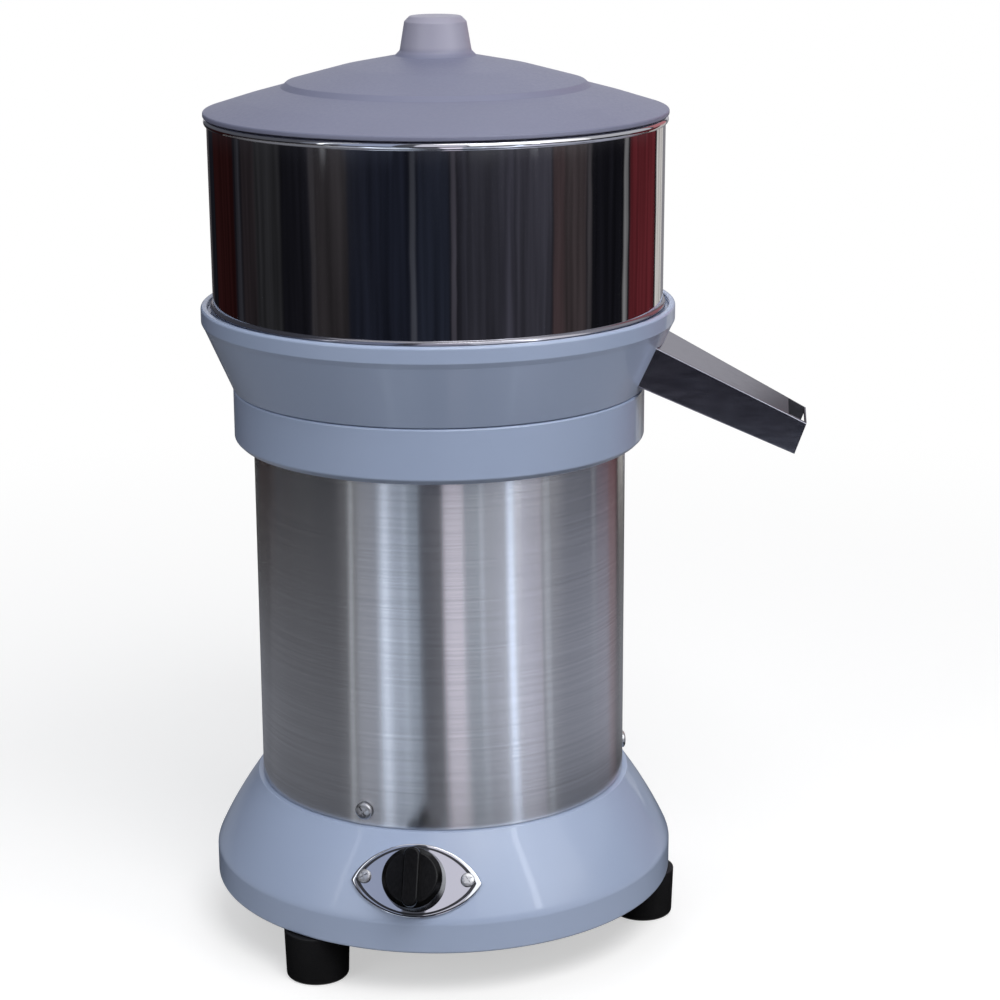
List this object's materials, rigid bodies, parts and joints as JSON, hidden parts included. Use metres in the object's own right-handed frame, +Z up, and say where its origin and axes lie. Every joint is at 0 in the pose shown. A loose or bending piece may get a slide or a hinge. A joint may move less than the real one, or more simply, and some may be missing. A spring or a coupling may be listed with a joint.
{
  "type": "citrus juicer",
  "caption": "Commercial citrus juicer: domed lid over a polished splash bowl, flared juice tray with a sloping spout, motor in a brushed casing, conical base with a switch and rubber feet.",
  "frame": {"origin": "Centre of the box of the whole machine in X and Y, on the surface that its feet stand on", "axes": "+Z up along the axis of the motor; +X the way the spout points; the switch looks out towards -Y"},
  "size_m": [0.2552, 0.2226, 0.3924],
  "materials": {
    "paint": "satin light grey-blue enamel",
    "lid_plastic": "satin moulded light grey",
    "polished_steel": "mirror-polished stainless steel",
    "brushed_casing": "stainless steel brushed around the casing",
    "steel": "plain steel",
    "zinc": "zinc-plated steel",
    "cast_aluminium": "as cast",
    "core_iron": "laminated electrical steel",
    "copper_winding": "varnished copper wire",
    "reamer_plastic": "moulded white food plastic",
    "foot_rubber": "matte black",
    "black_plastic": "moulded black",
    "capacitor_white": "white case"
  },
  "bodies": {
    "stand": {"base_ring": "paint", "bottom_plate": "zinc", "foot_1": "foot_rubber", "foot_2": "foot_rubber", "foot_3": "foot_rubber", "foot_screw_1": "zinc", "foot_screw_2": "zinc", "foot_screw_3": "zinc", "casing": "brushed_casing", "casing_screw_1": "steel", "casing_screw_2": "steel", "casing_screw_3": "steel", "top_collar": "paint", "tie_rod_1": "zinc", "tie_rod_2": "zinc", "tie_rod_3": "zinc", "tie_nut_1": "zinc", "tie_nut_2": "zinc", "tie_nut_3": "zinc", "motor_screw_1": "zinc", "motor_screw_2": "zinc", "motor_screw_3": "zinc", "motor_screw_4": "zinc", "motor_upper_shield": "cast_aluminium", "motor_lower_shield": "cast_aluminium", "stator_core": "core_iron", "upper_end_winding": "copper_winding", "lower_end_winding": "copper_winding", "through_bolt_1": "zinc", "through_bolt_2": "zinc", "through_bolt_3": "zinc", "through_bolt_4": "zinc", "upper_bearing": "steel", "lower_bearing": "steel", "switch_plate": "polished_steel", "plate_screw_1": "steel", "plate_screw_2": "steel", "switch_body": "black_plastic", "switch_nut": "zinc", "cord_gland": "black_plastic", "gland_nut": "black_plastic", "run_capacitor": "capacitor_white", "capacitor_clamp": "zinc", "terminal_block": "black_plastic"},
    "drive": {"motor_shaft": "steel", "rotor_core": "core_iron", "cooling_fan": "black_plastic", "shaft_seal": "foot_rubber", "drive_pin": "steel"},
    "reamer": {"reamer": "reamer_plastic"},
    "tray": {"juice_tray": "paint", "spout": "polished_steel"},
    "strainer": {"strainer": "steel"},
    "bowl": {"bowl_ring": "polished_steel"},
    "lid": {"lid": "lid_plastic"},
    "knob": {"switch_knob": "black_plastic", "switch_spindle": "steel"}
  },
  "joints": [
    {"name": "motor_spin", "type": "hinge", "parent": "stand", "child": "drive", "pos_m": [-0.0276, 0.00178, 0.2], "axis": [0, 0, 1], "continuous": true},
    {"name": "reamer_lift", "type": "slide", "parent": "drive", "child": "reamer", "axis": [0, 0, 1], "range_m": [0, 0.022]},
    {"name": "tray_lift", "type": "slide", "parent": "stand", "child": "tray", "axis": [0, 0, 1], "range_m": [0, 0.023]},
    {"name": "strainer_lift", "type": "slide", "parent": "tray", "child": "strainer", "axis": [0, 0, 1], "range_m": [0, 0.07]},
    {"name": "bowl_lift", "type": "slide", "parent": "tray", "child": "bowl", "axis": [0, 0, 1], "range_m": [0, 0.09]},
    {"name": "lid_lift", "type": "slide", "parent": "bowl", "child": "lid", "axis": [0, 0, 1], "range_m": [0, 0.06]},
    {"name": "knob_turn", "type": "hinge", "parent": "stand", "child": "knob", "pos_m": [-0.0276, -0.09037, 0.05035], "axis": [0, -0.8649, 0.5019], "range_deg": [0, 90]}
  ]
}
